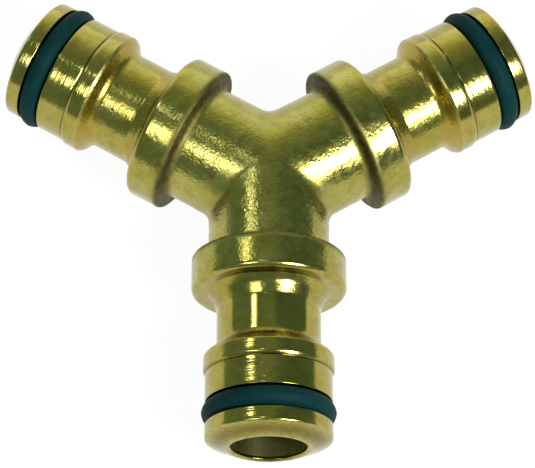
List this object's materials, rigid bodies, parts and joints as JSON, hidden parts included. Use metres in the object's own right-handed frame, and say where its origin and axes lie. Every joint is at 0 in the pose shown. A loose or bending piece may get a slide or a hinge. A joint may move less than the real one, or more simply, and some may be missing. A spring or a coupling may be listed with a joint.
{
  "type": "hose y connector",
  "caption": "Brass Y hose connector with male click-fit nozzles at equal angles around a drilled hub, each with a collar, latch neck, shoulder and O-ring.",
  "frame": {"origin": "the point in the hub where the bore axes of the three arms meet", "axes": "+Z square to the plane of the arms; -Y along the inlet arm; the outlets point at 30 and 150 degrees from +X"},
  "size_m": [0.0684, 0.0603, 0.0196],
  "materials": {
    "brass": "hot-forged and bead-cleaned on the hub, finely turned on the nozzles",
    "rubber": "satin dark green nitrile rubber"
  },
  "bodies": {
    "root": {"connector_body": "brass", "inlet_o_ring": "rubber", "left_outlet_o_ring": "rubber", "right_outlet_o_ring": "rubber"}
  },
  "joints": []
}
